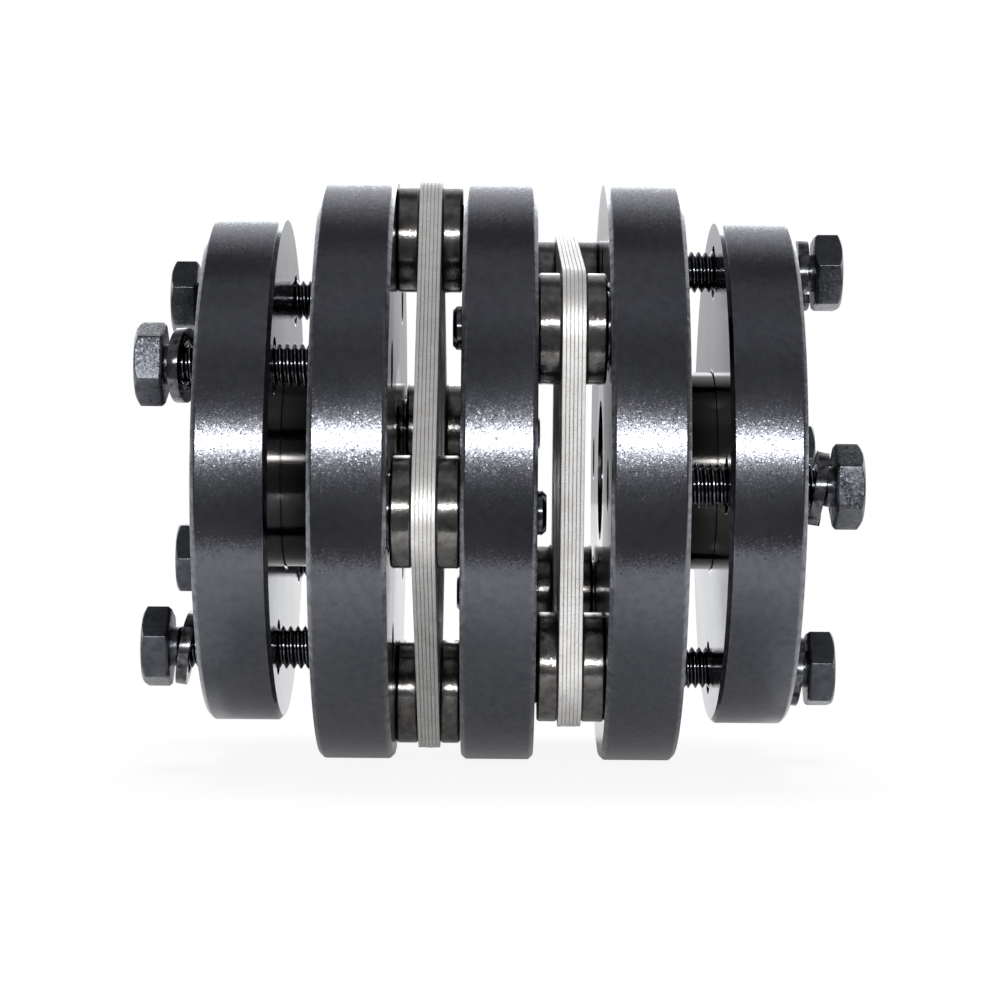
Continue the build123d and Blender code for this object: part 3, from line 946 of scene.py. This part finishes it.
def hexagon_head():
    """Head from its bearing face at x = 0 to its crown at x = 3.85, as rows of (x, radius) by angle. A
    chamfer reaches tan 30 times as far along the bolt as the side lies past its circle, and a set least
    amount on a flat. Rows close to the crown's edge keep the crown's shading flat."""
    turn = hexagon_turns(hex_flats, hex_corner)
    side = hexagon(turn, hex_flats, hex_corner)
    rows = [(0, 0), (0, np.minimum(hex_foot, side - foot_inset)),
            (np.maximum(foot_rise, (side - hex_foot) * hex_slope), side),
            (hex_height - np.maximum(crown_fall, (side - hex_crown) * hex_slope), side)]
    crown_rows = (hex_crown, hex_crown - 0.3, hex_crown - 0.6, hex_crown * 0.5, 0)
    return swung(rows + [(hex_height, radius) for radius in crown_rows], turn, 0.12, 3)


print("head rows and columns:", hexagon_head().shape[:2])

# %% [markdown]
# A spring washer is one turn of square-edged wire, cut through and set sideways at the cut, so that its
# two ends bite. A closed ring with a slot would miss that set, so the wire's own outline is carried round
# the open turn.

# %% Washer wire
washer_thickness, washer_wall, washer_rise, washer_bore = 1.5, 1.65, 0.6, 3.37
washer_split = math.radians(20.0)


def spring_washer():
    """Strip of wire wound left-handed around X: x falls by `washer_rise` over the open turn."""
    half = np.array([washer_thickness, washer_wall]) / 2
    corners = np.array([(-1, -1), (1, -1), (1, 1), (-1, 1)], float) * half
    loop = soften(np.concatenate([corners[-1:], corners, corners[:1]]), 0.14, 3)[1:-1]
    loop = np.concatenate([loop, loop[:1]])
    part = np.linspace(0, 1, 97)[:, None]
    angle = np.pi + washer_split / 2 + part * (2 * np.pi - washer_split)
    strip = around_axis(washer_rise * (0.5 - part) + loop[:, 0], washer_bore + half[1] + loop[:, 1], angle)
    ends = [np.broadcast_to(strip[i].mean(axis=0), strip[i].shape)[None] for i in (0, -1)]
    return np.concatenate([ends[0], strip, ends[1]])


print("washer rows and columns:", spring_washer().shape[:2])

# %% [markdown]
# The clamp bolts stand backed out, as the coupling is supplied, and no two are alike. The washers hang
# loose on them, so each leans its own way. Random poses would be quicker to write, but these follow the CAD
# model: for each bolt, the turn of its head, the play left beside its washer, where the washer lies in that
# play, the place of its split, its lean and the side that leans to the head.

# %% How each bolt was left
BoltPose = collections.namedtuple("BoltPose", "head play lies split lean towards")
bolt_poses = {
    "right": [BoltPose(1, 0.28, 0.55, 270, 0.37, -90), BoltPose(19, 0.58, 0.95, 0, 0.21, -90),
              BoltPose(30, 0.45, 0.4, 20, 0.23, 120), BoltPose(23, 1.0, 0.75, 224, 0.09, -60)],
    "left": [BoltPose(8, 0.165, 0.05, 180, 0.53, 180), BoltPose(45, 0.315, 0.35, 160, 0.37, 150),
             BoltPose(29, 0.49, 0.35, 200, 0.37, -20), BoltPose(47, 0.66, 0.57, 180, 0.37, 95)],
}
longest_play, washer_drop_clearance = 1.5, 0.02
washer_height, washer_radius = washer_thickness + washer_rise, washer_bore + washer_wall


def washer_tilt(pose):
    """A washer's lean in radians: its share of the lean at which it jams, arctan(2 clearance / height)."""
    return pose.lean * math.atan(2 * (washer_bore - thread_radius) / washer_height)


def washer_span(pose):
    """Length of bolt that a leaning washer takes up: height cos(lean) + 2 radius sin(lean)."""
    tilt = washer_tilt(pose)
    return washer_height * math.cos(tilt) + 2 * washer_radius * math.sin(tilt)


def washer_place(pose):
    """Where a washer's middle hangs, from the ring's face: so far along the bolt, and down until its bore
    nearly rests on the thread, bore - thread radius / cos(lean) - height / 2 tan(lean)."""
    tilt = washer_tilt(pose)
    drop = (washer_bore - thread_radius / math.cos(tilt) - washer_height / 2 * math.tan(tilt)
            - washer_drop_clearance)
    return [washer_span(pose) / 2 + pose.lies * pose.play * longest_play, 0, -drop]


def bolt_places(side):
    """Number from 1, angle around the shaft, and pose of each clamp bolt of one half."""
    return zip(range(1, 5), quarters(first_screw[side] + clamp_lead), bolt_poses[side])


print("lengths taken up by the right-hand washers:",
      [round(washer_span(pose), 2) for pose in bolt_poses["right"]])

# %% [markdown]
# Pieces are made on the X axis, where their shape is simple, then turned and moved out to their places. The
# moves are done to the points themselves, so that every finished piece keeps its place in its own mesh.

# %% Spring washers
def spun(points, degrees):
    """Turn points about the X axis."""
    c, s = math.cos(math.radians(degrees)), math.sin(math.radians(degrees))
    return points @ np.array([[1, 0, 0], [0, c, s], [0, -s, c]])


def leaned(points, angle):
    """Turn points about the Z axis, by an angle in radians."""
    c, s = math.cos(angle), math.sin(angle)
    return points @ np.array([[c, s, 0], [-s, c, 0], [0, 0, 1]])


def placed(grid, x, angle, circle):
    """Move a piece made on the X axis out to its station."""
    return grid + np.array([x, *station(angle, circle)])


for side in sides:
    for number, angle, pose in bolt_places(side):
        washer = leaned(spun(spring_washer(), pose.split - pose.towards), washer_tilt(pose))
        washer = spun(washer, pose.towards) + washer_place(pose)
        add_piece(f"split_washer_{side}_{number}", f"spring_washer_{side}_{number}", "washer_steel",
                  [placed(washer, ring_outer, angle, clamp_circle)], side)
print("washer faces and open edges:", tally["split_washer_right_1"])

# %% [markdown]
# The clamp bolts are threaded up to the head. Head and shank were forged as one, but here they are two
# closed grids that overlap by 0.2 mm under the head, where nothing shows, so neither has to fit the other.

# %% Clamp bolts
clamp_bolt_length, overlap = 25.0, 0.2
shank = threaded_rod(clamp_bolt_length + overlap) * [-1, 1, -1] + [overlap, 0, 0]
for side in sides:
    for number, angle, pose in bolt_places(side):
        head_face = ring_outer + washer_span(pose) + pose.play * longest_play
        bolt = [placed(spun(grid, pose.head), head_face, angle, clamp_circle)
                for grid in (hexagon_head(), shank)]
        add_piece(f"hexagon_bolt_{side}_{number}", f"clamp_bolt_{side}_{number}", "bolt_steel", bolt, side)
print("bolt faces and open edges:", tally["hexagon_bolt_right_1"])

# %% [markdown]
# The screws through the packs have a round head with a hexagon socket. The heads sit in the clearance
# holes, and the chamfered tips stand a little way out of the tapped holes opposite. The socket could be cut
# out of the head, but as rows of the same grid it needs no cut: the rows go round up to the rim and turn
# hexagonal on the way in.

# %% Disc screws
socket_flats, socket_corner = 2.5, 0.08
head_radius, head_height, head_chamfer, socket_depth = 5.0, 6.0, 0.5, 3.0
under_edge, socket_mouth, mouth_depth, point_depth = 0.1, 0.25, 0.2, 0.8
disc_screw_length, disc_screw_tip = 20.35, 1.4


def socket_head():
    """Head from its bearing face at x = 0 out to x = -6, and in again along its socket, 3 mm deep, down to
    the point that the drill left."""
    turn = hexagon_turns(socket_flats, socket_corner)
    socket = hexagon(turn, socket_flats, socket_corner)
    bottom = socket_depth - head_height
    rows = [(0, 0), (0, head_radius - under_edge), (-under_edge, head_radius),
            (head_chamfer - head_height, head_radius), (-head_height, head_radius - head_chamfer),
            (-head_height, socket + socket_mouth), (mouth_depth - head_height, socket), (bottom, socket),
            (bottom + point_depth, 0)]
    return swung(rows, turn, 0.08, 2)


disc_screw = [socket_head(), threaded_rod(disc_screw_length + overlap, disc_screw_tip) - [overlap, 0, 0]]
for side in sides:
    for k, angle in enumerate(quarters(first_screw[side])):
        x, facing = spacer_face + free_gap, [1, 1, 1]
        if k % 2 == 0:
            x, facing = flange_inner - free_gap, [-1, 1, -1]
        add_piece(f"socket_screw_{side}_{k + 1}", f"disc_screw_{side}_{k + 1}", "bolt_steel",
                  [placed(grid * facing, x, angle, disc_circle) for grid in disc_screw], side)
print("screw faces and open edges:", tally["socket_screw_right_1"])
print("faces in all:", sum(faces for faces, _ in tally.values()),
      "open edges in all:", sum(edges for _, edges in tally.values()))

# %% [markdown]
# Dark polished metal shows its room more than its own colour, so the room is designed with care. The floor
# is a pale sheet that ends a little in front of the flanges, so the lower half of each rim shows the
# floor's front edge as a soft step. The camera sees the floor as plain white paper with a faint shadow,
# and the metal sees it lit, with the darker patch that the coupling throws on it.

# %% Floor
floor_front, floor_reach, floor_gap = -0.078, 3.0, 0.0002


def plain_floor():
    """A flat sheet just under the flanges, in metres."""
    z = cad_box[0][2] - floor_gap
    corners = [(-floor_reach, floor_front, z), (floor_reach, floor_front, z), (floor_reach, floor_reach, z),
               (-floor_reach, floor_reach, z)]
    mesh = bpy.data.meshes.new("floor")
    mesh.from_pydata(corners, [], [(0, 1, 2, 3)])
    floor = bpy.data.objects.new("floor", mesh)
    bpy.context.scene.collection.objects.link(floor)
    return floor


def directly_seen(tree):
    """1 for rays from the camera or through clear things, and 0 for all others."""
    rays = node(tree, "LightPath").outputs
    return maths(tree, "MAXIMUM", rays["Is Camera Ray"], rays["Is Transmission Ray"])


def floor_paint():
    """Pale matt paint. For camera and clear rays 0.9 of it is plain white, and for mirror rays 0.15."""
    paint = bpy.data.materials.new("floor_paint")
    paint.use_nodes = True
    tree = paint.node_tree
    shader = connect(tree.nodes["Principled BSDF"], Base_Color=(0.9, 0.9, 0.9, 1), Roughness=0.9,
                     Specular_IOR_Level=0.1)
    mirrored = product(tree, node(tree, "LightPath").outputs["Is Glossy Ray"], 0.15)
    share = maths(tree, "MAXIMUM", product(tree, directly_seen(tree), 0.9), mirrored)
    both = node(tree, "MixShader", i0=share, i1=shader.outputs[0], i2=node(tree, "Emission").outputs[0])
    connect(tree.nodes["Material Output"], Surface=both.outputs[0])
    return paint


floor = plain_floor()
floor.data.materials.append(floor_paint())
print("floor at", round(cad_box[0][2] * 1000, 2), "mm, from y =", round(floor_front * 1000), "mm back")

# %% [markdown]
# The surround is plain white for the camera. For the metal it is a room: white behind the coupling, up to
# about half way to the zenith, and dim overhead and in front. The band low behind is brightest, and shows
# on the rims from behind. The room could be modelled, but its brightness matters only by the angle around
# the shaft, arctan(z / -y), so a ramp of a few stops describes it.

# %% Surround
def surround(stops):
    """A world for the scene. Stops are (degrees around the shaft, brightness), 0 in front and 90 above."""
    world = bpy.data.worlds.new("surround")
    bpy.context.scene.world = world
    world.use_nodes = True
    tree = world.node_tree
    ambient = connect(tree.nodes["Background"], Color=(0.35, 0.35, 0.36, 1))
    ways = node(tree, "SeparateXYZ", Vector=node(tree, "TexCoord").outputs["Generated"]).outputs
    angle = maths(tree, "ARCTAN2", ways["Z"], product(tree, ways["Y"], -1.0))
    ramp = node(tree, "ValToRGB", Fac=between(tree, angle, -math.pi, math.pi))
    elements = ramp.color_ramp.elements
    while len(elements) > 1:
        elements.remove(elements[-1])
    for i, (degrees, level) in enumerate(stops):
        place = 0.5 + degrees / 360
        element = elements[0] if i == 0 else elements.new(place)
        element.position, element.color = place, (level, level, level * 1.03, 1)
    room = node(tree, "Background", Color=ramp.outputs["Color"])
    white = node(tree, "Background", Color=(1, 1, 1, 1))
    mirrored = node(tree, "MixShader", i0=node(tree, "LightPath").outputs["Is Glossy Ray"],
                    i1=ambient.outputs[0], i2=room.outputs[0])
    both = node(tree, "MixShader", i0=directly_seen(tree), i1=mirrored.outputs[0], i2=white.outputs[0])
    connect(tree.nodes["World Output"], Surface=both.outputs[0])


below = [(-180, 0.55), (-150, 0.6), (-120, 0.9), (-85, 0.3), (-45, 0.2), (-15, 0.17)]
front_and_above = [(0, 0.22), (30, 0.2), (48, 0.22), (65, 0.4), (82, 0.3), (88, 0.36), (98, 0.15),
                   (110, 0.15)]
behind = [(122, 0.6), (134, 1.1), (148, 1.2), (154, 2.3), (170, 2.3), (175, 0.6), (180, 0.55)]
surround(below + front_and_above + behind)
print("surround ready, with", len(below + front_and_above + behind), "stops")

# %% [markdown]
# One long, low strip lamp stands in front, a little above the lens. Because it is as wide as the
# coupling is long, and thin, every turned rim shows it as one level bright line. A second, weak strip
# behind lights the upper edges. The soft lamp overhead lays the shadow under the coupling. It is kept out
# of the mirror rays, because the real room has nothing bright there.

# %% Lamps
def add_lamp(name, kind):
    """A lamp of a kind, linked to the scene."""
    lamp = bpy.data.objects.new(name, bpy.data.lights.new(name, kind))
    bpy.context.scene.collection.objects.link(lamp)
    return lamp


def strip_lamp(name, place, width, height, watts):
    """A rectangular area lamp at a place in metres, facing the middle of the coupling."""
    lamp = add_lamp(name, "AREA")
    lamp.data.shape, lamp.data.size, lamp.data.size_y, lamp.data.energy = "RECTANGLE", width, height, watts
    lamp.location = place
    lamp.rotation_euler = (mathutils.Vector() - mathutils.Vector(place)).to_track_quat("-Z", "Y").to_euler()
    return lamp


strip_lamp("long_key", (0.0, -0.88, 0.173), 0.9, 0.052, 6.2)
strip_lamp("back_strip", (0.0, 1.2, 0.62), 1.4, 0.3, 2.1).data.color = (0.85, 0.93, 1.0)
overhead = add_lamp("overhead", "SUN")
overhead.data.energy, overhead.data.angle = 2.5, math.radians(35)
overhead.rotation_euler = (math.radians(-15), 0, 0)
overhead.visible_glossy = False

# %% [markdown]
# The camera looks square at the shaft axis, so both ends of the coupling show equally. It could stand far
# off with a long lens, which flattens everything, but from 400 mm the near rims hide a little of the gaps
# behind them, as they do to the eye. It leans by half a degree, and its frame is shifted, not tilted, so
# upright edges stay upright.

# %% Camera
camera_distance, camera_lean = 0.4, math.radians(-0.45)
camera_data = bpy.data.cameras.new("camera")
camera_data.lens, camera_data.sensor_width = 101.2, 36.0
camera_data.clip_start = 0.01
camera_data.shift_x, camera_data.shift_y = 0.001, -0.0307
camera = bpy.data.objects.new("camera", camera_data)
bpy.context.scene.collection.objects.link(camera)
camera.location = (0.0, -camera_distance, 0.0)
camera.rotation_euler = (math.radians(90), camera_lean, 0.0)
bpy.context.scene.camera = camera
bpy.context.scene.view_settings.view_transform = "Standard"
print("camera at", tuple(round(v, 3) for v in camera.location))
